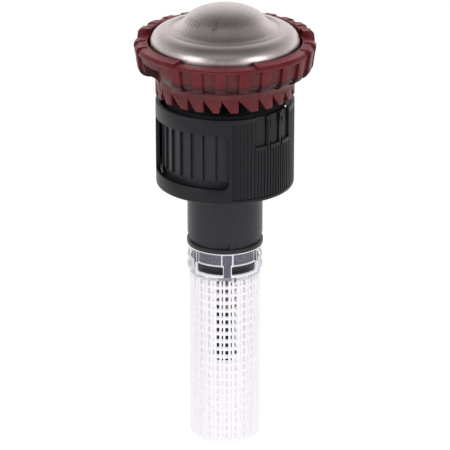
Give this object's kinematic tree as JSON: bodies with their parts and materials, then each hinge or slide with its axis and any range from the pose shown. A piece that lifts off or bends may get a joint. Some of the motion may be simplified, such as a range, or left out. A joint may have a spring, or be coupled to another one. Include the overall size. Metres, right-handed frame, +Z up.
{
  "type": "rotary sprinkler nozzle",
  "caption": "Rotary nozzle for a pop up sprinkler's riser: domed cap, turning toothed deflector, adjusting collar and filter screen.",
  "frame": {"origin": "centre of the mouth of the riser thread, on the axis, level with the collar's lower edge", "axes": "+Z up along the axis towards the cap, -Y the front with the collar's window, +X to the right of it"},
  "size_m": [0.0296, 0.0296, 0.0763],
  "materials": {
    "cap_steel": "tumbled stainless sheet",
    "deflector_plastic": "burgundy acetal, semi-matt",
    "collar_plastic": "black, satin",
    "body_plastic": "black, satin",
    "neck_plastic": "dark grey, satin",
    "bushing_plastic": "natural acetal",
    "screen_plastic": "translucent white",
    "shaft_steel": "turned stainless",
    "spring_steel": "drawn wire",
    "seal_rubber": "matt rubber"
  },
  "bodies": {
    "housing": {"nozzle_base": "body_plastic", "inlet_tube": "neck_plastic", "inlet_plate": "neck_plastic", "riser_gasket": "seal_rubber", "nozzle_cover": "body_plastic", "filter_screen": "screen_plastic", "spring_washer": "shaft_steel"},
    "ring": {"radius_ring": "collar_plastic", "drive_tube": "collar_plastic"},
    "throttle": {"throttle_nut": "bushing_plastic"},
    "stem": {"shaft": "shaft_steel", "sleeve_washer": "shaft_steel", "brake_disc": "shaft_steel", "brake_pad": "seal_rubber", "shaft_clip": "shaft_steel", "retaining_nut": "body_plastic", "spring": "spring_steel"},
    "sleeve": {"valve_sleeve": "bushing_plastic"},
    "lift": {"bushing": "bushing_plastic"},
    "rotor": {"deflector": "deflector_plastic", "brake_plate": "shaft_steel", "deflector_seal": "seal_rubber", "cap": "cap_steel"}
  },
  "joints": [
    {"name": "radius_adjust", "type": "hinge", "parent": "housing", "child": "ring", "pos_m": [0, 0, 0.012], "axis": [0, 0, 1], "range_deg": [0, 100]},
    {"name": "throttle_travel", "type": "slide", "parent": "ring", "child": "throttle", "axis": [0, 0, -1], "range_m": [0, 0.0018]},
    {"name": "shaft_rise", "type": "slide", "parent": "housing", "child": "stem", "axis": [0, 0, 1], "range_m": [0, 0.0015], "deforming": ["spring"]},
    {"name": "arc_adjust", "type": "hinge", "parent": "stem", "child": "sleeve", "pos_m": [0, 0, 0.0146], "axis": [0, 0, 1], "range_deg": [0, 225]},
    {"name": "deflector_lift", "type": "slide", "parent": "stem", "child": "lift", "axis": [0, 0, 1], "range_m": [0, 0.0034]},
    {"name": "deflector_spin", "type": "hinge", "parent": "lift", "child": "rotor", "pos_m": [0, 0, 0.018], "axis": [0, 0, 1], "continuous": true}
  ],
  "couplings": [
    {"joint": "throttle_travel", "follows": "radius_adjust", "m_per_rad": 0.001031},
    {"joint": "arc_adjust", "follows": "shaft_rise", "rad_per_m": 2617.9}
  ]
}
